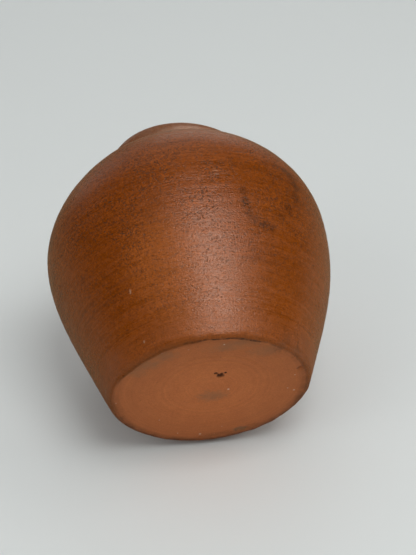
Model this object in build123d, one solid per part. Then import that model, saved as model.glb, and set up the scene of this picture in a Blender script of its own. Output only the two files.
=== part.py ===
from build123d import *
from math import atan, cos, radians, sin, sqrt
import os

# A small bud vase, one piece of wheel-thrown red clay.
# Upright: Z is the axis the pot was thrown on, and the origin is the middle of its underside.

# outside
height = 86.5           # underside to the top of the lip
belly_dia = 88.0        # widest point of the body
belly_h = 50.5          # height of the widest point
base_dia = 54.5         # flat underside
foot_dia = 59.2         # where the wall starts, above the worn foot edge
foot_h = 1.2            # height of that soft foot edge
neck_dia = 44.0         # narrowest point, outside
neck_round = 1.2        # hollow curve between shoulder and lip
lip_flare = 2.2         # how far the lip stands out past the neck
lip_thick = 3.0         # clay at the lip, rolled over fully round

# inside
wall_thick = 4.5        # at the belly
floor_thick = 6.5       # clay under the middle of the hollow
neck_thick = 3.6        # at the throat, the narrowest point of the way in
throat_depth = 6.7      # from the top of the lip down to the throat
ceiling_step = 7.6      # from the throat out to where the hollow's ceiling falls away
ceiling_drop = 6.0      # from the foot of the neck down to there
floor_inset = 9.6       # from the foot's edge in to where the inside floor turns up

# how the curves run, as shares of the distance each one covers
foot_open = 1.376       # the wall opens this much faster at the foot than on average
foot_lift = 0.525
belly_low = 0.264
belly_top = 0.521
neck_reach = 0.336
foot_soften = 0.6
chamber_reach = 0.52
chamber_top = 0.567
chamber_low = 0.318
floor_reach = 0.46
throat_turn = 0.4
neck_slope = 6.0        # degrees the shoulder still climbs at the neck
ceiling_slope = 28.0    # degrees the ceiling falls at its ring

up = (0, 1)
down = (0, -1)
outward = (1, 0)
inward = (-1, 0)


def bend(start, start_dir, start_pull, end, end_dir, end_pull):
    first = (start[0] + start_pull * start_dir[0], start[1] + start_pull * start_dir[1])
    last = (end[0] - end_pull * end_dir[0], end[1] - end_pull * end_dir[1])
    return Bezier(start, first, last, end)


base_r = base_dia / 2
foot_r = foot_dia / 2
belly_r = belly_dia / 2
neck_r = neck_dia / 2

# the neck hollow and the rolled lip are two circles that touch
lip_round = lip_thick / 2
lip_x = neck_r + lip_flare - lip_round
lip_z = height - lip_round
neck_x = neck_r + neck_round
neck_z = lip_z - sqrt((neck_round + lip_round) ** 2 - (neck_x - lip_x) ** 2)
touch = neck_round / (neck_round + lip_round)
lip_start = (neck_x + touch * (lip_x - neck_x), neck_z + touch * (lip_z - neck_z))
climb = radians(neck_slope)
neck_foot = (neck_x - neck_round * sin(climb), neck_z - neck_round * cos(climb))

# outside line, from the middle of the underside up to the lip
base_edge = (base_r, 0)
wall_foot = (foot_r, foot_h)
belly = (belly_r, belly_h)
rise = belly_h - foot_h
lean = atan(foot_open * (belly_r - foot_r) / rise)
lean_dir = (sin(lean), cos(lean))
neck_dir = (-cos(climb), sin(climb))
foot_pull = foot_soften * (foot_r - base_r)
belly_pull = belly_top * (neck_foot[1] - belly_h)
neck_pull = neck_reach * (belly_r - neck_r)

underside = Line((0, 0), base_edge)
foot_edge = bend(
    base_edge, outward, foot_pull, wall_foot, lean_dir, foot_soften * foot_h
)
lower_wall = bend(
    wall_foot, lean_dir, foot_lift * rise, belly, up, belly_low * rise
)
shoulder = bend(belly, up, belly_pull, neck_foot, neck_dir, neck_pull)
neck = ThreePointArc(neck_foot, (neck_r, neck_z), lip_start)
lip = ThreePointArc(lip_start, (lip_x, height), (lip_x - lip_round, lip_z))

# inside line, from the lip back down to the axis
mouth = (lip_x - lip_round, lip_z)
throat = (neck_r - neck_thick, height - throat_depth)
ceiling = (throat[0] + ceiling_step, neck_foot[1] - ceiling_drop)
belly_in = (belly_r - wall_thick, belly_h)
floor_edge = (foot_r - floor_inset, floor_thick)
fall = radians(ceiling_slope)
fall_dir = (cos(fall), -sin(fall))
mouth_pull = (lip_z - throat[1]) / 2
turn_pull = throat_turn * ceiling_step
chamber_pull = chamber_reach * (belly_in[0] - ceiling[0])
top_pull = chamber_top * (ceiling[1] - belly_h)
low_pull = chamber_low * (belly_h - floor_thick)
floor_pull = floor_reach * (belly_in[0] - floor_edge[0])

way_in = bend(mouth, down, mouth_pull, throat, down, mouth_pull)
under_neck = bend(throat, down, turn_pull, ceiling, fall_dir, turn_pull)
chamber_upper = bend(ceiling, fall_dir, chamber_pull, belly_in, down, top_pull)
chamber_lower = bend(belly_in, down, low_pull, floor_edge, inward, floor_pull)
inside_floor = Line(floor_edge, (0, floor_thick))
middle = Line((0, floor_thick), (0, 0))

outside = [underside, foot_edge, lower_wall, shoulder, neck, lip]
inside = [way_in, under_neck, chamber_upper, chamber_lower, inside_floor, middle]
vase_body = revolve(Plane.XZ * make_face(outside + inside), Axis.Z, 360)
vase_body.label = "vase_body"

os.makedirs("parts", exist_ok=True)
export_step(vase_body, "parts/vase_body.step")
print("vase_body", vase_body.bounding_box().size, "volume", round(vase_body.volume))
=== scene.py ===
import math

import bmesh
import bpy
from mathutils import Matrix, Quaternion, Vector, noise
from mathutils.geometry import interpolate_bezier


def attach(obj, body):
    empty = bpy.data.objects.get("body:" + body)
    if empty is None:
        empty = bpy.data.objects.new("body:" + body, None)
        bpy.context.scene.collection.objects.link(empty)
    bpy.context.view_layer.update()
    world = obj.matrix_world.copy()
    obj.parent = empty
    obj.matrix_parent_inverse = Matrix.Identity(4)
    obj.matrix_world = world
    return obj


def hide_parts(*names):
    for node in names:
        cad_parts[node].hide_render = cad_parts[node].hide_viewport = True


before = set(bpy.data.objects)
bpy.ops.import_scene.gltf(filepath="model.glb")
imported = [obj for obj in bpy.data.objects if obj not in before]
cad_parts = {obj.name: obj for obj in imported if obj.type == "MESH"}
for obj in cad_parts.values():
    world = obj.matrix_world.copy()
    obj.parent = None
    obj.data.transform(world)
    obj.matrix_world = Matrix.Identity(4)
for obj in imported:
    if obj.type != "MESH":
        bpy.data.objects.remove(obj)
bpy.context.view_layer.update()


# helpers for materials

def addNode(tree, kind, **settings):
    node = tree.nodes.new(kind)
    for name, value in settings.items():
        setattr(node, name, value)
    return node


def feed(tree, socket, value):
    # a socket takes either a link or a plain value
    if isinstance(value, bpy.types.NodeSocket):
        tree.links.new(value, socket)
    else:
        socket.default_value = value


def feedAll(tree, sockets, values):
    for socket, value in zip(sockets, values):
        feed(tree, socket, value)


def maths(tree, operation, a, b=0.0, c=0.0, clamp=False):
    node = addNode(tree, "ShaderNodeMath", operation=operation, use_clamp=clamp)
    feedAll(tree, node.inputs, (a, b, c))
    return node.outputs[0]


def times(tree, *factors):
    result = factors[0]
    for factor in factors[1:]:
        result = maths(tree, "MULTIPLY", result, factor)
    return result


def highest(tree, *values):
    result = values[0]
    for value in values[1:]:
        result = maths(tree, "MAXIMUM", result, value)
    return result


def vectorMaths(tree, operation, a, b=None, output="Vector"):
    node = addNode(tree, "ShaderNodeVectorMath", operation=operation)
    feed(tree, node.inputs[0], a)
    if b is not None:
        feed(tree, node.inputs[1], b)
    return node.outputs[output]


def remap(tree, value, low, high, toLow=0.0, toHigh=1.0, smooth=True):
    node = addNode(tree, "ShaderNodeMapRange")
    node.interpolation_type = "SMOOTHSTEP" if smooth else "LINEAR"
    feedAll(tree, node.inputs, (value, low, high, toLow, toHigh))
    return node.outputs[0]


def mixColour(tree, amount, a, b, blend="MIX"):
    node = addNode(tree, "ShaderNodeMix", data_type="RGBA", blend_type=blend)
    feed(tree, node.inputs[0], amount)
    feed(tree, node.inputs[6], a)
    feed(tree, node.inputs[7], b)
    return node.outputs[2]


def mixValue(tree, amount, a, b):
    node = addNode(tree, "ShaderNodeMix")
    feed(tree, node.inputs[0], amount)
    feed(tree, node.inputs[2], a)
    feed(tree, node.inputs[3], b)
    return node.outputs[0]


def noiseAt(tree, vector, scale, detail, rough=0.5):
    node = addNode(tree, "ShaderNodeTexNoise")
    feed(tree, node.inputs["Vector"], vector)
    feed(tree, node.inputs["Scale"], scale)
    feed(tree, node.inputs["Detail"], detail)
    feed(tree, node.inputs["Roughness"], rough)
    return node.outputs["Fac"]


def lineNoise(tree, along, scale, detail, rough=0.5):
    node = addNode(tree, "ShaderNodeTexNoise", noise_dimensions="1D")
    feed(tree, node.inputs["W"], along)
    feed(tree, node.inputs["Scale"], scale)
    feed(tree, node.inputs["Detail"], detail)
    feed(tree, node.inputs["Roughness"], rough)
    return node.outputs["Fac"]


def stretched(tree, vector, scale, turn=(0.0, 0.0, 0.0)):
    node = addNode(tree, "ShaderNodeMapping")
    feed(tree, node.inputs["Vector"], vector)
    feed(tree, node.inputs["Rotation"], turn)
    feed(tree, node.inputs["Scale"], scale)
    return node.outputs[0]


# the pot's shape, in metres and radians

pot = {
    "height": 0.0869,
    "baseRadius": 0.0273,
    "footRadius": 0.0299,
    "footHeight": 0.0014,
    "footSoft": 0.6,                  # how far the foot's edge is rounded
    "wallLean": 0.382,
    "wallPull": 0.486,                # handles of the wall's curve, as shares of its rise
    "bellyPull": 0.264,
    "belly": (0.0440, 0.0507),
    "shoulderPull": 0.480,
    "neckPull": 0.42,
    "neck": (0.0234, 0.0815),
    "neckSlope": 0.322,
    "neckHollow": (0.0004, 0.0010),
    "lipRadius": 0.02455,
    "lipRound": 0.0016,
    "lipRise": 0.0010,
    "wall": 0.0045,
    "floor": 0.0065,
    "floorRadius": 0.020,
    "floorTurn": 0.029,
    "throatRadius": 0.0184,
    "throatDepth": 0.0067,
    "throatPull": 0.0026,
    "ceiling": (0.026, 0.0752),       # where the ceiling of the hollow falls away
    "ceilingRise": (0.0027, 0.0014),
    "ceilingFall": (0.0062, 0.0033),
    "underNeck": 0.003,
    "insidePull": 0.014,
    "steps": 336,
    "rings": {"base": 52, "foot": 8, "wall": 84, "shoulder": 60, "neck": 8, "lip": 8,
              "throat": 8, "underNeck": 8, "chamber": 14, "lowChamber": 24, "floor": 8},
    # how far the thrown pot has settled out of true
    "lean": (-0.0359, 0.0514),
    "bow": 0.0044,
    "sway": 0.00093,
    "swayOver": 0.0867,
    "ringFade": 0.011,
    "mouthTilt": (-0.1472, -0.0346),
    "mouthFade": 0.0088,
}


def curve(start, startHandle, endHandle, end, count):
    points = [Vector((p[0], 0.0, p[1])) for p in (start, startHandle, endHandle, end)]
    return interpolate_bezier(*points, count)


def outsideLine():
    # from the middle of the underside up to the outside of the lip
    p = pot
    rings = p["rings"]
    lean = math.tan(p["wallLean"])
    base = (p["baseRadius"], 0.0)
    foot = (p["footRadius"], p["footHeight"])
    soft = p["footSoft"]
    bellyR, bellyZ = p["belly"]
    neckR, neckZ = p["neck"]
    rise = bellyZ - foot[1]
    line = [Vector((base[0] * i / rings["base"], 0.0, 0.0)) for i in range(rings["base"])]
    line += curve(
        base, (base[0] + soft * (foot[0] - base[0]), 0.0),
        (foot[0] - soft * foot[1] * lean, (1 - soft) * foot[1]), foot, rings["foot"])[:-1]
    pull = p["wallPull"] * rise
    line += curve(
        foot, (foot[0] + pull * lean, foot[1] + pull),
        (bellyR, bellyZ - p["bellyPull"] * rise), p["belly"], rings["wall"])[:-1]
    reach = p["neckPull"] * (bellyR - neckR)
    acrossNeck, upNeck = math.cos(p["neckSlope"]), math.sin(p["neckSlope"])
    line += curve(
        p["belly"], (bellyR, bellyZ + p["shoulderPull"] * (neckZ - bellyZ)),
        (neckR + reach * acrossNeck, neckZ - reach * upNeck), p["neck"], rings["shoulder"])[:-1]
    lipZ = p["height"] - p["lipRound"]
    line += curve(
        p["neck"], (neckR - p["neckHollow"][0], neckZ + p["neckHollow"][1]),
        (p["lipRadius"], lipZ - p["lipRise"]), (p["lipRadius"], lipZ), rings["neck"])[:-1]
    return line


def rolledLip():
    p = pot
    lipX, lipZ = p["lipRadius"] - p["lipRound"], p["height"] - p["lipRound"]
    line = []
    for i in range(p["rings"]["lip"] + 1):
        a = math.pi * i / p["rings"]["lip"]
        line.append(Vector((lipX + p["lipRound"] * math.cos(a), 0.0, lipZ + p["lipRound"] * math.sin(a))))
    return line


def insideLine():
    # from the lip down the throat and round the hollow to the axis
    p = pot
    rings = p["rings"]
    bellyZ = p["belly"][1]
    mouth = (p["lipRadius"] - 2 * p["lipRound"], p["height"] - p["lipRound"])
    throat = (p["throatRadius"], p["height"] - p["throatDepth"])
    ceiling = p["ceiling"]
    inside = (p["belly"][0] - p["wall"], bellyZ)
    turned = (p["floorRadius"], p["floor"])
    line = curve(
        mouth, (mouth[0], mouth[1] - p["throatPull"]),
        (throat[0], throat[1] + p["throatPull"]), throat, rings["throat"])[1:]
    line += curve(
        throat, (throat[0], throat[1] - p["underNeck"]),
        (ceiling[0] - p["ceilingRise"][0], ceiling[1] + p["ceilingRise"][1]),
        ceiling, rings["underNeck"])[1:]
    line += curve(
        ceiling, (ceiling[0] + p["ceilingFall"][0], ceiling[1] - p["ceilingFall"][1]),
        (inside[0], bellyZ + p["insidePull"]), inside, rings["chamber"])[1:]
    line += curve(
        inside, (inside[0], bellyZ - p["insidePull"]),
        (p["floorTurn"], p["floor"]), turned, rings["lowChamber"])[1:]
    for i in range(1, rings["floor"] + 1):
        line.append(Vector((turned[0] * (1 - i / rings["floor"]), 0.0, turned[1])))
    return line


def spinPot():
    bm = bmesh.new()
    verts = [bm.verts.new(co) for co in outsideLine() + rolledLip() + insideLine()]
    edges = [bm.edges.new(pair) for pair in zip(verts, verts[1:])]
    bmesh.ops.spin(
        bm, geom=verts + edges, cent=(0, 0, 0), axis=(0, 0, 1),
        angle=2 * math.pi, steps=pot["steps"], use_merge=True)
    bmesh.ops.remove_doubles(bm, verts=bm.verts, dist=1e-6)
    bmesh.ops.recalc_face_normals(bm, faces=bm.faces)
    return bm


def settle(co):
    # the slight lean, bow and crooked mouth of a pot thrown quickly by hand
    x, y, z = co
    lean, tilt = pot["lean"], pot["mouthTilt"]
    s = max(0.0, min(1.0, z / pot["swayOver"]))
    rise = 1.0 - math.exp(-max(z, 0.0) / pot["ringFade"])
    mouth = math.exp(-max(0.0, pot["height"] - z) / pot["mouthFade"])
    dz = -(lean[0] * x + lean[1] * y) * rise
    dz += (tilt[0] * x + tilt[1] * y) * mouth
    dx = lean[0] * z + pot["bow"] * s * s + pot["sway"] * math.sin(2 * math.pi * s)
    dy = lean[1] * z
    return Vector((x + dx, y + dy, z + dz))


surface = {
    "wobble": 0.00022,      # slow unevenness of the thrown wall
    "wobbleTurns": (1.1, 45),       # how quickly it changes round the pot and up it
    "ridges": 0.000045,     # finger and rib marks round the outside
    "ridgeTurns": (0.9, 420),
    "fineRidges": 0.6,
    "fineRidgeTurns": (1.4, 950),
    "insideRidges": 0.00025,
    "insideTurns": (0.7, 170),
    "trimRings": 0.00005,   # turned rings on the underside
    "trimCentre": (0.0006, -0.0027),
    "trimFine": 900,
    "trimBroad": 300,
    "dish": 0.0003,         # the underside is a little hollow
    "edgeWear": 0.00022,
    "edgeFrom": 0.0245,
    "edgeOver": 0.004,
    "edgeTurns": (2.2, 9),
    "underTop": 0.0013,     # the underside and its edge are below this
    "insideAbove": 0.004,
    "pitReach": 1.6,
    "finerBelow": 0.0011,   # where the mesh is made finer round a pit
    "finerReach": 1.5,
    "pits": [               # place on the underside, radius, depth
        (0.00348, -0.00830, 0.00078, 0.0012),
        (0.00232, -0.00992, 0.00042, 0.0006),
        (0.00303, -0.00900, 0.00034, 0.0005),
        (0.00393, -0.00945, 0.00034, 0.0005),
        (0.00501, -0.00956, 0.00030, 0.0004),
    ],
    "chips": [              # the same, near the edge
        (0.02647, -0.00611, 0.00090, 0.0006),
        (0.00734, 0.02447, 0.00130, 0.0005),
        (0.00910, 0.02420, 0.00080, 0.0004),
        (-0.0050, 0.02560, 0.00070, 0.0003),
    ],
}
hollows = surface["pits"] + surface["chips"]


def ripple(out, z, turns, shift=0):
    # noise that runs round the pot in bands
    return noise.noise(Vector((out.x * turns[0], out.y * turns[0], shift + z * turns[1])))


def underRise(co, out, r):
    # worn edge, turned rings, dish and pits of the underside
    edge = max(0.0, min(1.0, (r - surface["edgeFrom"]) / surface["edgeOver"]))
    wear = surface["edgeWear"] * edge
    broadTurns, closeTurns = surface["edgeTurns"]
    rise = -wear * (0.5 + noise.noise(out * broadTurns + Vector((3, 1, 0))))
    rise -= wear * 0.6 * noise.noise(out * closeTurns)
    ring = (Vector((co.x, co.y)) - Vector(surface["trimCentre"])).length
    turned = noise.noise(Vector((ring * surface["trimFine"], out.x * 0.5, out.y * 0.5)))
    turned += 0.7 * noise.noise(Vector((ring * surface["trimBroad"], out.x, 4 + out.y)))
    rise += surface["trimRings"] * turned
    if r < pot["baseRadius"]:
        rise -= surface["dish"] * (1 - (r / pot["baseRadius"]) ** 2)
    for x, y, size, depth in hollows:
        d = math.hypot(co.x - x, co.y - y) / size
        rise -= depth * max(0.0, 1 - (d / surface["pitReach"]) ** 2) ** 2
    return rise


def unevenness(co, normal):
    # how far the clay stands proud of its true round at one place, along its normal
    out = Vector((co.x, co.y, 0.0))
    r = out.length
    if r < 1e-6:
        return 0.0
    out /= r
    if co.z < surface["underTop"] and r < pot["footRadius"] + 0.0005:
        return underRise(co, out, r)
    facing = normal.dot(out)
    onFloor = facing < 0.5 and r < pot["throatRadius"] and co.z > surface["insideAbove"]
    if facing < -0.1 or onFloor:
        return surface["insideRidges"] * ripple(out, co.z, surface["insideTurns"])
    slow = surface["wobble"] * ripple(out, co.z, surface["wobbleTurns"])
    fine = ripple(out, co.z, surface["ridgeTurns"])
    fine += surface["fineRidges"] * ripple(out, co.z, surface["fineRidgeTurns"], 7)
    return max(0.0, facing) * (slow + surface["ridges"] * fine)


def refineHollows(bm):
    # more faces where the underside is pitted
    for x, y, size, depth in hollows:
        reach = size * surface["finerReach"]
        near = [
            e for e in bm.edges
            if max(v.co.z for v in e.verts) < surface["finerBelow"]
            and min(math.hypot(v.co.x - x, v.co.y - y) for v in e.verts) < reach]
        bmesh.ops.subdivide_edges(bm, edges=near, cuts=1, use_grid_fill=True)
    bmesh.ops.triangulate(bm, faces=[f for f in bm.faces if len(f.verts) > 4])


bm = spinPot()
refineHollows(bm)
bm.normal_update()
lift = [vert.normal * unevenness(vert.co, vert.normal) for vert in bm.verts]
for vert, move in zip(bm.verts, lift):
    vert.co = settle(vert.co + move)
mesh = bpy.data.meshes.new("vaseBody")
bm.to_mesh(mesh)
bm.free()
mesh.shade_smooth()
body = bpy.data.objects.new("vaseBody", mesh)
bpy.context.scene.collection.objects.link(body)
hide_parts("vase_body")
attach(body, "root")
print("pot", sum(len(f.vertices) - 2 for f in mesh.polygons), "triangles")


# the clay: colours first, then where its marks are

clay = {
    "orange": (0.198, 0.0400, 0.0002, 1.0),   # burnished slip, where it is thick
    "red": (0.245, 0.0530, 0.0006, 1.0),      # burnished slip, where it is worn
    "paintedLight": (0.320, 0.0760, 0.0050, 1.0),   # painted light: the slip lighter on one side, the front-left, where the light falls
    "dark": (0.074, 0.0150, 0.0004, 1.0),
    "paleFleck": (0.340, 0.0840, 0.0010, 1.0),
    "soot": (0.026, 0.0070, 0.0010, 1.0),
    "speck": (0.030, 0.0080, 0.0008, 1.0),
    # painted shade: near black inside the pits and pinholes
    "pitShadeBlack": (0.006, 0.0030, 0.0020, 1.0),
    "bare": (0.478, 0.137, 0.034, 1.0),       # unslipped clay of the underside
    "bareDark": (0.405, 0.108, 0.025, 1.0),
    "rimDirtAndShade": (0.150, 0.042, 0.009, 1.0),   # handling dirt darkening the edge of the underside; also painted shade on the lip's top and on the underside's edge toward the table
    "lipPaleAndSheen": (0.270, 0.148, 0.092, 1.0),    # dry clay of the lip, worn by rubbing; its pale, grey tone is also painted sheen
    "dust": (0.560, 0.420, 0.300, 1.0),
    "greyStain": (0.205, 0.105, 0.048, 1.0),
    "sheen": 0.26,                            # roughness of the burnish
    "markRough": 0.62,
    "bareRough": 0.80,
    "shine": (1.0, 0.90, 0.79, 1.0),
    "relief": 0.0001,                         # depth of relief too fine for the mesh
    # place, size and strength of one mark
    # painted light: a lighter patch on the front-left, where the light falls
    "paintedLightPatch": ((-0.0085, -0.0355, 0.0225), (0.0160, 0.0200, 0.0200), 0.62),
    "speckledBand": ((-0.0020, -0.0330, 0.0130), (0.0240, 0.0200, 0.0080), 0.80),
    "dragged": ((-0.0092, -0.0052, 0.0), (0.0095, 0.0070, 0.01), 0.6),
    "darkEdgeLine": ((0.0085, -0.0270, 0.0008), (0.0190, 0.0110, 0.0060), 1.0),
    "sootMarks": [
        ((0.0177, -0.0369, 0.0430), (0.0016, 0.0020, 0.0028), 0.75),
        ((0.0177, -0.0365, 0.0392), (0.0020, 0.0022, 0.0034), 1.00),
        ((0.0183, -0.0357, 0.0360), (0.0022, 0.0024, 0.0028), 0.80),
        ((0.0195, -0.0345, 0.0338), (0.0024, 0.0024, 0.0020), 0.65),
        ((0.0220, -0.0328, 0.0328), (0.0036, 0.0030, 0.0020), 0.85),
        ((0.0240, -0.0315, 0.0326), (0.0024, 0.0026, 0.0020), 0.75),
        ((0.0292, -0.0290, 0.0571), (0.0024, 0.0028, 0.0012), 0.60),
        ((0.0316, -0.0265, 0.0569), (0.0030, 0.0034, 0.0016), 0.85),
        ((0.0332, -0.0248, 0.0555), (0.0022, 0.0034, 0.0024), 0.90),
        ((0.0341, -0.0241, 0.0521), (0.0018, 0.0030, 0.0036), 0.75),
        ((0.0333, -0.0251, 0.0471), (0.0022, 0.0030, 0.0036), 0.75),
        ((0.0305, -0.0277, 0.0411), (0.0022, 0.0028, 0.0030), 0.75),
        ((0.0279, -0.0295, 0.0372), (0.0026, 0.0028, 0.0020), 0.60),
        ((0.0264, -0.0148, 0.0030), (0.0006, 0.0012, 0.0026), 0.60),
        ((-0.0317, -0.0230, 0.0297), (0.0016, 0.0016, 0.0012), 0.50),
    ],
    # brown smears along the edge of the underside
    "smears": [
        ((0.0219, -0.0190, 0.0005), (0.0040, 0.0036, 0.0026), 0.75),
        ((0.0232, -0.0188, 0.0020), (0.0030, 0.0030, 0.0030), 0.60),
        ((0.0258, -0.0137, 0.0008), (0.0026, 0.0046, 0.0026), 0.75),
        ((0.0276, -0.0066, 0.0004), (0.0014, 0.0060, 0.0016), 0.65),
        ((0.0265, -0.0061, 0.0000), (0.0018, 0.0018, 0.0020), 0.70),
        ((0.0012, 0.0253, 0.0000), (0.0100, 0.0014, 0.0020), 0.55),
        ((0.0130, 0.0232, 0.0000), (0.0060, 0.0016, 0.0020), 0.50),
        ((-0.0268, 0.0060, 0.0005), (0.0016, 0.0090, 0.0020), 0.45),
    ],
    # grey-green bloom on the underside
    "stains": [
        ((0.0003, 0.0022, 0.0), (0.0060, 0.0042, 0.01), 0.62),
        ((0.0085, -0.0236, 0.0), (0.0110, 0.0034, 0.01), 0.50),
        ((0.0170, -0.0190, 0.0), (0.0070, 0.0044, 0.01), 0.40),
        ((0.0073, 0.0245, 0.0), (0.0034, 0.0018, 0.01), 0.95),
        ((-0.0195, -0.0175, 0.0), (0.0046, 0.0042, 0.01), 0.50),
        ((-0.0158, -0.0205, 0.0), (0.0050, 0.0042, 0.01), 0.60),
        ((-0.0112, -0.0235, 0.0), (0.0056, 0.0036, 0.01), 0.50),
    ],
    "paleMarks": [
        ((0.0108, -0.0400, 0.0494), (0.0013, 0.0030, 0.00030), 0.30),
        ((0.0104, -0.0400, 0.0502), (0.0008, 0.0030, 0.00022), 0.20),
        ((0.0108, -0.0399, 0.0481), (0.0014, 0.0030, 0.00026), 0.26),
        ((-0.0180, -0.0301, 0.0184), (0.0004, 0.0020, 0.0010), 0.30),
        ((-0.0160, -0.0265, 0.0040), (0.0004, 0.0020, 0.0006), 0.25),
    ],
    # pale grit in the underside
    "grit": [
        ((0.00527, -0.00013, 0.0), (0.00050, 0.00050, 0.01), 1.0),
        ((0.02440, 0.00554, 0.0), (0.00045, 0.00045, 0.01), 1.0),
        ((-0.00505, 0.02378, 0.0), (0.00055, 0.00055, 0.01), 1.0),
        ((0.02486, -0.00300, 0.0), (0.00030, 0.00030, 0.01), 1.0),
    ],
    # how close each pattern repeats, per metre, or per metre along x, y and z
    "scales": {
        "broad": (18, 18, 30),
        "streak": (38, 38, 820),
        "fine": (110, 110, 3400),
        "coarse": (1950, 1950, 2600),
        "fleck": (1650, 1650, 2150),
        "dragPatches": (60, 60, 120),
        "underDrags": (260, 2400, 260),
        "edgeNoise": 260,
        "jag": 900,
        "grain": 2400,
        "mottle": 620,
        "crowding": 75,
        "sooty": 1900,
        "dragLines": 640,
        "edgeRing": 330,
        "edgeLine": 420,
        "ringWarp": 60,
        "rings": 950,
        "patchy": 210,
    },
    "streakTilt": (0.02, 0.015, 0),
    "fineTilt": (0.03, -0.02, 0),
    "underTilt": (0, 0, math.radians(45)),
    # cells per metre, smallest and largest speck as shares of a cell, share of cells with one
    "speckSizes": {
        "tiny": (1300, 0.20, 0.44, 0.90),
        "larger": (860, 0.14, 0.30, 0.42),
        "rare": (230, 0.04, 0.10, 0.25),
        "grit": (520, 0.06, 0.16, 0.10),
        "pinholes": (700, 0.08, 0.20, 0.14),
    },
}


def spot(tree, where, mark, ragged=None):
    # the mark's strength in its middle, 0 outside it
    centre, size, amount = mark
    offset = vectorMaths(tree, "SUBTRACT", where, centre)
    scaled = vectorMaths(tree, "DIVIDE", offset, size)
    reach = vectorMaths(tree, "LENGTH", scaled, output="Value")
    if ragged is not None:
        reach = maths(tree, "ADD", reach, ragged)
    return remap(tree, reach, 1.0, 0.25, 0.0, amount)


def spots(tree, where, marks, ragged=None):
    return highest(tree, *[spot(tree, where, mark, ragged) for mark in marks])


def specks(tree, where, kind):
    # round specks of mixed sizes
    scale, small, big, share = clay["speckSizes"][kind]
    cells = addNode(tree, "ShaderNodeTexVoronoi", feature="F1")
    feed(tree, cells.inputs["Vector"], where)
    feed(tree, cells.inputs["Scale"], scale)
    draw = addNode(tree, "ShaderNodeSeparateColor")
    feed(tree, draw.inputs[0], cells.outputs["Color"])
    size = remap(tree, draw.outputs[0], 0.0, 1.0, small, big, smooth=False)
    there = maths(tree, "LESS_THAN", draw.outputs[1], share)
    inner = times(tree, size, 0.55)
    dot = remap(tree, cells.outputs["Distance"], inner, size, 1.0, 0.0, smooth=False)
    return times(tree, dot, there)


def clayPatterns(tree):
    # the positions and noises that more than one part of the clay uses
    where = addNode(tree, "ShaderNodeTexCoord").outputs["Object"]
    split = addNode(tree, "ShaderNodeSeparateXYZ")
    feed(tree, split.inputs[0], where)
    x, y, z = split.outputs
    flat = addNode(tree, "ShaderNodeCombineXYZ")
    feed(tree, flat.inputs[0], x)
    feed(tree, flat.inputs[1], y)
    p = {"where": where, "x": x, "y": y, "z": z, "flat": flat.outputs[0]}
    s = clay["scales"]
    p["edgeNoise"] = noiseAt(tree, where, s["edgeNoise"], 3)
    p["jag"] = maths(tree, "MULTIPLY_ADD", noiseAt(tree, where, s["jag"], 3, 0.7), 1.6, -0.8)
    p["broad"] = noiseAt(tree, stretched(tree, where, s["broad"]), 1, 3, 0.55)
    p["streak"] = noiseAt(tree, stretched(tree, where, s["streak"], clay["streakTilt"]), 1, 4, 0.62)
    p["fine"] = noiseAt(tree, stretched(tree, where, s["fine"], clay["fineTilt"]), 1, 3, 0.6)
    p["coarse"] = noiseAt(tree, stretched(tree, where, s["coarse"]), 1, 2, 0.65)
    p["grain"] = noiseAt(tree, where, s["grain"], 3, 0.65)
    p["mottle"] = noiseAt(tree, where, s["mottle"], 4, 0.7)
    p["sooty"] = noiseAt(tree, where, s["sooty"], 3, 0.75)
    p["patchy"] = noiseAt(tree, where, s["patchy"], 4, 0.65)
    # distance from the axis, made a little ragged
    fromAxis = vectorMaths(tree, "LENGTH", p["flat"], output="Value")
    ragged = maths(tree, "MULTIPLY_ADD", p["edgeNoise"], 0.0008, -0.0004)
    p["radius"] = maths(tree, "ADD", fromAxis, ragged)
    return p


def bareArea(tree, p):
    # 1 on the bare underside, which reaches a little further out at the sides and the back
    inner = 0.0275
    reach = highest(
        tree, remap(tree, p["x"], -0.020, -0.027, inner, 0.0286),
        remap(tree, p["x"], -0.004, 0.004, inner, 0.0283),
        remap(tree, p["y"], 0.0, 0.012, inner, 0.0290))
    bare = remap(tree, maths(tree, "SUBTRACT", p["radius"], reach), 0.00035, -0.00035)
    return times(tree, bare, remap(tree, p["z"], 0.0013, 0.0009))


def slipColour(tree, p):
    # the slip is thinner low down, toward the lip and on one side
    z = p["z"]
    lowDown = times(tree, remap(tree, z, 0.016, 0.003), 0.35)
    thin = highest(tree, lowDown, remap(tree, z, 0.060, 0.074, 0.0, 0.8))
    sideways = maths(tree, "MULTIPLY_ADD", p["broad"], 0.016, p["x"])
    thin = maths(tree, "ADD", thin, remap(tree, sideways, -0.012, 0.014, 0.0, 0.75))
    patches = remap(tree, p["broad"], 0.40, 0.65, -0.15, 0.30)
    worn = maths(tree, "ADD", thin, patches, clamp=True)
    wall = mixColour(tree, worn, clay["orange"], clay["red"])
    # painted light: the slip made lighter in a patch on one side
    paintedLight = spot(tree, p["where"], clay["paintedLightPatch"])
    return mixColour(tree, paintedLight, wall, clay["paintedLight"])


def speckCrowding(tree, p):
    # close on the upper body and in a band low on the front, few elsewhere low down
    higherUp = remap(tree, p["z"], 0.005, 0.045, 0.50, 1.35)
    patches = noiseAt(tree, p["where"], clay["scales"]["crowding"], 3)
    crowd = times(tree, higherUp, remap(tree, patches, 0.32, 0.60, 0.50, 1.0))
    return highest(tree, crowd, spot(tree, p["where"], clay["speckledBand"], p["jag"]))


def wallShade(tree, p, crowd):
    # thrown streaks, and coarse clay showing through the slip as a close, even grain
    shade = times(
        tree, remap(tree, p["streak"], 0.30, 0.72, 0.92, 1.07, False),
        remap(tree, p["mottle"], 0.25, 0.75, 0.84, 1.16, False),
        remap(tree, p["fine"], 0.2, 0.8, 0.88, 1.12, False))
    coarseTone = remap(tree, p["coarse"], 0.28, 0.72, -0.56, 0.50, False)
    return times(tree, shade, maths(tree, "MULTIPLY_ADD", coarseTone, crowd, 1.0))


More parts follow.
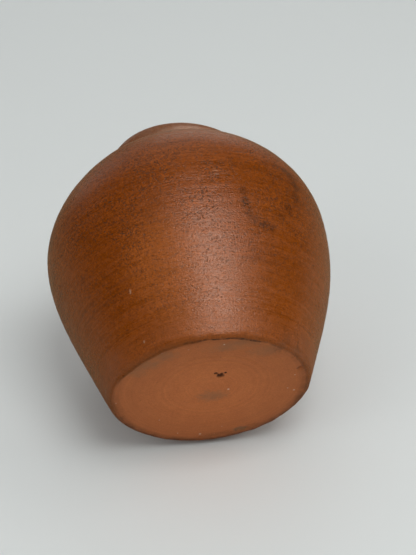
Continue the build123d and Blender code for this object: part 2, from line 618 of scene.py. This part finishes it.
def dragLines(tree, p):
    # thin dark lines dragged round the wall
    height = maths(tree, "MULTIPLY_ADD", p["edgeNoise"], 0.0006, p["z"])
    lines = lineNoise(tree, height, clay["scales"]["dragLines"], 3.0)
    patches = noiseAt(tree, stretched(tree, p["where"], clay["scales"]["dragPatches"]), 1, 2)
    return times(tree, remap(tree, lines, 0.40, 0.33), remap(tree, patches, 0.48, 0.62), 0.28)


def wallSpecks(tree, p, crowd):
    tiny, larger, rare = [specks(tree, p["where"], kind) for kind in ("tiny", "larger", "rare")]
    crowded = times(tree, highest(tree, tiny, larger), times(tree, crowd, 0.86))
    return highest(tree, crowded, times(tree, rare, 0.8))


def burnishedWall(tree, p):
    # gives the wall's colour, its specks and its dark flecks
    crowd = speckCrowding(tree, p)
    wall = mixColour(tree, 1.0, slipColour(tree, p), wallShade(tree, p, crowd), "MULTIPLY")
    wall = mixColour(tree, dragLines(tree, p), wall, clay["dark"])
    fleckNoise = noiseAt(tree, stretched(tree, p["where"], clay["scales"]["fleck"]), 1, 3, 0.70)
    fleck = times(tree, remap(tree, fleckNoise, 0.55, 0.68), crowd)
    wall = mixColour(tree, times(tree, fleck, 0.80), wall, clay["dark"])
    paleFleck = remap(tree, fleckNoise, 0.44, 0.33, 0.0, 0.35)
    wall = mixColour(tree, paleFleck, wall, clay["paleFleck"])
    speck = wallSpecks(tree, p, crowd)
    wall = mixColour(tree, times(tree, speck, 0.80), wall, clay["speck"])
    # the lip paler: worn clay, and painted sheen where the lip catches the light
    dryPatches = remap(tree, p["mottle"], 0.30, 0.65, 0.50, 0.85)
    lipWearAndSheen = times(tree, remap(tree, p["z"], 0.0815, 0.0835), dryPatches)
    wall = mixColour(tree, lipWearAndSheen, wall, clay["lipPaleAndSheen"])
    # painted shade: the lip's rounded top edge darkened
    wall = mixColour(tree, remap(tree, p["z"], 0.0856, 0.0866, 0.0, 0.45), wall, clay["rimDirtAndShade"])
    return wall, speck, fleck


def turnedRings(tree, p):
    centre = (surface["trimCentre"][0], surface["trimCentre"][1], 0.0)
    fromCentre = vectorMaths(tree, "DISTANCE", p["flat"], centre, "Value")
    warp = noiseAt(tree, p["where"], clay["scales"]["ringWarp"], 2)
    warped = maths(tree, "MULTIPLY_ADD", warp, 0.0016, fromCentre)
    return lineNoise(tree, warped, clay["scales"]["rings"], 4.0, 0.7)


def bareUnderside(tree, p, rings):
    # gives the underside's colour and its holes
    where = p["where"]
    under = mixColour(
        tree, remap(tree, p["patchy"], 0.35, 0.66, 0.0, 0.40), clay["bare"], clay["bareDark"])
    # paler in the middle than at the edge
    shade = times(
        tree, remap(tree, rings, 0.25, 0.75, 0.92, 1.07, False),
        remap(tree, p["grain"], 0.25, 0.75, 0.84, 1.16, False),
        remap(tree, p["radius"], 0.008, 0.027, 1.05, 0.86))
    under = mixColour(tree, 1.0, under, shade, "MULTIPLY")
    alongDrags = stretched(tree, where, clay["scales"]["underDrags"], clay["underTilt"])
    drags = noiseAt(tree, alongDrags, 1, 3, 0.6)
    dragged = spot(tree, where, clay["dragged"], p["jag"])
    under = mixColour(tree, times(tree, remap(tree, drags, 0.52, 0.66), dragged), under, clay["bareDark"])
    stain = spots(tree, where, clay["stains"], p["jag"])
    stain = times(tree, stain, remap(tree, p["patchy"], 0.30, 0.60, 0.45, 1.0))
    under = mixColour(tree, stain, under, clay["greyStain"])
    grit = highest(tree, specks(tree, where, "grit"), spots(tree, where, clay["grit"]))
    under = mixColour(tree, times(tree, grit, 0.8), under, clay["dust"])
    # the pits and pinholes painted near black as the shade inside them
    pits = [((x, y, 0.0), (size * 2, size * 2, 0.01), 1.0) for x, y, size, depth in surface["pits"]]
    pit = spots(tree, where, pits, times(tree, p["jag"], 0.25))
    hole = highest(tree, pit, times(tree, specks(tree, where, "pinholes"), 0.35))
    return mixColour(tree, hole, under, clay["pitShadeBlack"]), hole


def edgeDirtAndShade(tree, p):
    # handling dirt round the edge of the underside, with painted shade making it strongest at the back,
    # toward the table, and a dark line along the edge
    nearEdge = remap(tree, p["z"], 0.0016, 0.0008)
    ringPatches = noiseAt(tree, p["where"], clay["scales"]["edgeRing"], 4, 0.7)
    ring = times(
        tree, remap(tree, p["radius"], 0.0254, 0.0280), nearEdge,
        remap(tree, ringPatches, 0.30, 0.62, 0.30, 0.90),
        # painted shade: stronger toward the table side, where the rounded edge turns from the light
        remap(tree, p["y"], -0.012, 0.014, 0.30, 1.0))
    # a dark line along the edge, strongest at the front
    offLine = maths(tree, "ABSOLUTE", maths(tree, "SUBTRACT", p["radius"], 0.0282))
    linePatches = noiseAt(tree, p["where"], clay["scales"]["edgeLine"], 3, 0.6)
    line = times(
        tree, remap(tree, offLine, 0.00040, 0.00012), nearEdge,
        highest(tree, spot(tree, p["where"], clay["darkEdgeLine"], p["jag"]), 0.25),
        remap(tree, linePatches, 0.34, 0.54, 0.35, 0.85))
    return ring, line


def clayColour(tree, p, bare, wall, under):
    where = p["where"]
    ring, line = edgeDirtAndShade(tree, p)
    smear = spots(tree, where, clay["smears"], p["jag"])
    smear = times(tree, smear, remap(tree, p["sooty"], 0.38, 0.58, 0.45, 1.0))
    soot = spots(tree, where, clay["sootMarks"], p["jag"])
    soot = times(tree, soot, remap(tree, p["sooty"], 0.46, 0.54, 0.14, 1.0))
    colour = mixColour(tree, bare, wall, under)
    # handling dirt and smears, with painted shade on the edge toward the table
    colour = mixColour(tree, highest(tree, ring, smear), colour, clay["rimDirtAndShade"])
    colour = mixColour(tree, highest(tree, soot, line), colour, clay["soot"])
    return mixColour(tree, spots(tree, where, clay["paleMarks"]), colour, clay["dust"])


def clayRoughness(tree, p, bare, speck, fleck):
    rough = clay["sheen"]
    for name, low, high in (("streak", -0.05, 0.07), ("mottle", -0.05, 0.06), ("fine", -0.06, 0.05)):
        rough = maths(tree, "ADD", remap(tree, p[name], 0.3, 0.7, low, high, False), rough)
    rough = maths(tree, "ADD", rough, remap(tree, p["z"], 0.009, 0.004, 0.0, 0.10))
    marks = times(tree, highest(tree, speck, fleck), clay["markRough"])
    return mixValue(tree, bare, highest(tree, rough, marks), clay["bareRough"])


def addUp(tree, parts):
    total = 0.0
    for value, share in parts:
        total = maths(tree, "MULTIPLY_ADD", value, share, total)
    return total


def clayRelief(tree, p, bare, rings, speck, hole):
    wall = addUp(tree, [
        (p["streak"], 0.35), (p["fine"], 0.60), (p["grain"], 0.10),
        (p["mottle"], 0.35), (p["coarse"], 1.10), (speck, -0.45)])
    under = addUp(tree, [(rings, 0.55), (p["grain"], 0.35), (p["patchy"], 0.6), (hole, -1.0)])
    bump = addNode(tree, "ShaderNodeBump")
    feed(tree, bump.inputs["Strength"], 1.0)
    feed(tree, bump.inputs["Distance"], clay["relief"])
    feed(tree, bump.inputs["Height"], mixValue(tree, bare, wall, under))
    return bump.outputs[0]


def clayMaterial():
    mat = bpy.data.materials.new("redClay")
    mat.use_nodes = True
    tree = mat.node_tree
    p = clayPatterns(tree)
    bare = bareArea(tree, p)
    wall, speck, fleck = burnishedWall(tree, p)
    rings = turnedRings(tree, p)
    under, hole = bareUnderside(tree, p, rings)
    shader = tree.nodes["Principled BSDF"]
    feed(tree, shader.inputs["Base Color"], clayColour(tree, p, bare, wall, under))
    feed(tree, shader.inputs["Roughness"], clayRoughness(tree, p, bare, speck, fleck))
    feed(tree, shader.inputs["Normal"], clayRelief(tree, p, bare, rings, speck, hole))
    shader.inputs["IOR"].default_value = 1.5
    shader.inputs["Specular IOR Level"].default_value = 0.5
    shader.inputs["Specular Tint"].default_value = clay["shine"]
    return mat


mesh.materials.append(clayMaterial())
print("clay done")


# table, lights and camera

studio = {
    "eye": (0.0, -0.31564, -0.18246),
    "heading": (0.01152, 0.81643, 0.57733),
    "roll": 8.917,
    "lens": 81.08,
    "sensor": 36,
    "sees": (0.01, 20),
    "floorUp": (0.1169, -0.9251, 0.3614),
    "floorHalf": 2.0,
    "paper": (0.715, 0.75, 0.74, 1.0),
    "paperRough": 0.9,
    "paperGloss": 0.2,
    "paperInShine": (0.27, 0.22, 0.13, 1.0),  # the table as the burnish reflects it
    "backdrop": (0.58, 0.60, 0.59, 1.0),
    "roomLight": 0.42,
    "white": (1.0, 1.0, 1.0),
    "lightsRound": (0.0, 0.0, 0.045),
    "lightsAway": 0.9,
    # toward each light as seen by the camera (right, up, near), its size, watts and colour
    "softLights": [
        ("mainLight", (0.235, 0.519, 0.821), (0.45, 0.45), 3.2),
        ("rightLight", (0.819, 0.481, 0.313), (0.45, 0.45), 1.05),
        ("leftLight", (-0.579, 0.165, 0.798), (0.45, 0.45), 0.95),
        ("backLight", (0.0, 0.927, -0.373), (0.45, 0.45), 0.70),
        ("behindRightLight", (0.42, 0.22, -0.88), (0.45, 0.45), 2.0),
        ("behindLeftLight", (-0.42, 0.22, -0.88), (0.45, 0.45), 1.6),
    ],
    # these only put the shine on the burnish
    "shineLights": [
        ("mainShine", (0.25, 0.61, 0.75), (0.50, 0.42), 4.3, (1.0, 0.94, 0.95)),
        ("rightShine", (0.64, 0.36, 0.68), (0.40, 0.40), 0.9, (1.0, 0.92, 0.84)),
        ("topShine", (0.0, 0.60, 0.80), (0.40, 0.40), 0.6, (1.0, 0.90, 0.80)),
        ("backShine", (0.0, 0.85, -0.53), (1.50, 0.60), 1.1, (1.0, 0.92, 0.84)),
        ("sideShine", (0.80, -0.15, -0.58), (0.30, 0.90), 1.8, (1.0, 0.92, 0.86)),
        ("leftShine", (-0.38, 0.50, 0.76), (0.60, 0.60), 0.75, (1.0, 0.82, 0.58)),
        ("leftBackShine", (-0.60, 0.60, -0.53), (0.50, 0.50), 0.35, (1.0, 0.92, 0.86)),
        ("lowLeftShine", (-0.78, -0.35, -0.52), (0.30, 0.90), 0.8, (1.0, 0.92, 0.86)),
        ("rimShine", (0.0, 0.42, -0.91), (0.40, 0.40), 0.3, (1.0, 0.92, 0.86)),
        ("frontShine", (0.30, -0.20, 0.93), (0.60, 0.40), 0.7, (1.0, 0.84, 0.62)),
    ],
}

cameraTurn = Vector(studio["heading"]).normalized().to_track_quat("-Z", "Y")
cameraTurn = cameraTurn @ Quaternion((0, 0, 1), -math.radians(studio["roll"]))


def addCamera():
    lens = bpy.data.cameras.new("camera")
    lens.lens = studio["lens"]
    lens.sensor_width = studio["sensor"]
    lens.clip_start, lens.clip_end = studio["sees"]
    camera = bpy.data.objects.new("camera", lens)
    camera.rotation_mode = "QUATERNION"
    camera.location = studio["eye"]
    camera.rotation_quaternion = cameraTurn
    bpy.context.scene.collection.objects.link(camera)
    bpy.context.scene.camera = camera


def paperMaterial():
    # seen from its front only, so a view from behind the table isn't blocked
    mat = bpy.data.materials.new("paper")
    mat.use_nodes = True
    tree = mat.node_tree
    paper = tree.nodes["Principled BSDF"]
    seenInShine = addNode(tree, "ShaderNodeLightPath").outputs["Is Glossy Ray"]
    colour = mixColour(tree, seenInShine, studio["paper"], studio["paperInShine"])
    feed(tree, paper.inputs["Base Color"], colour)
    paper.inputs["Roughness"].default_value = studio["paperRough"]
    paper.inputs["Specular IOR Level"].default_value = studio["paperGloss"]
    clear = addNode(tree, "ShaderNodeBsdfTransparent")
    mix = addNode(tree, "ShaderNodeMixShader")
    behind = addNode(tree, "ShaderNodeNewGeometry").outputs["Backfacing"]
    feedAll(tree, mix.inputs, (behind, paper.outputs[0], clear.outputs[0]))
    feed(tree, tree.nodes["Material Output"].inputs["Surface"], mix.outputs[0])
    return mat


def addTable():
    # a plane touching the lying pot from below
    floorUp = Vector(studio["floorUp"]).normalized()
    touch = min(mesh.vertices, key=lambda v: floorUp.dot(v.co)).co
    floorMesh = bpy.data.meshes.new("table")
    fb = bmesh.new()
    bmesh.ops.create_grid(fb, x_segments=1, y_segments=1, size=studio["floorHalf"])
    toFloor = Matrix.Translation(touch) @ floorUp.to_track_quat("Z", "Y").to_matrix().to_4x4()
    bmesh.ops.transform(fb, matrix=toFloor, verts=fb.verts)
    fb.to_mesh(floorMesh)
    fb.free()
    floorMesh.materials.append(paperMaterial())
    floor = bpy.data.objects.new("table", floorMesh)
    bpy.context.scene.collection.objects.link(floor)
    floor.visible_shadow = False


def softLight(name, direction, size, power, colour):
    data = bpy.data.lights.new(name, "AREA")
    data.shape = "RECTANGLE"
    data.size, data.size_y = size
    data.energy = power
    data.color = colour
    light = bpy.data.objects.new(name, data)
    toward = (cameraTurn @ Vector(direction)).normalized()
    light.location = Vector(studio["lightsRound"]) + toward * studio["lightsAway"]
    light.rotation_mode = "QUATERNION"
    light.rotation_quaternion = toward.to_track_quat("Z", "Y")
    light.visible_camera = False
    bpy.context.scene.collection.objects.link(light)
    return light


def addRoom():
    # even room light, and a pale backdrop that only the camera sees
    world = bpy.data.worlds.new("world")
    bpy.context.scene.world = world
    world.cycles_visibility.glossy = False
    world.use_nodes = True
    sky = world.node_tree
    lit = sky.nodes["Background"]
    lit.inputs["Color"].default_value = (*studio["white"], 1.0)
    lit.inputs["Strength"].default_value = studio["roomLight"]
    seen = addNode(sky, "ShaderNodeBackground")
    seen.inputs["Color"].default_value = studio["backdrop"]
    choose = addNode(sky, "ShaderNodeMixShader")
    byCamera = addNode(sky, "ShaderNodeLightPath").outputs["Is Camera Ray"]
    feedAll(sky, choose.inputs, (byCamera, lit.outputs[0], seen.outputs[0]))
    feed(sky, sky.nodes["World Output"].inputs["Surface"], choose.outputs[0])


addCamera()
addTable()
for name, direction, size, power in studio["softLights"]:
    softLight(name, direction, size, power, studio["white"]).visible_glossy = False
for name, direction, size, power, colour in studio["shineLights"]:
    softLight(name, direction, size, power, colour).visible_diffuse = False
addRoom()
bpy.context.scene.view_settings.view_transform = "Standard"
print("studio done")
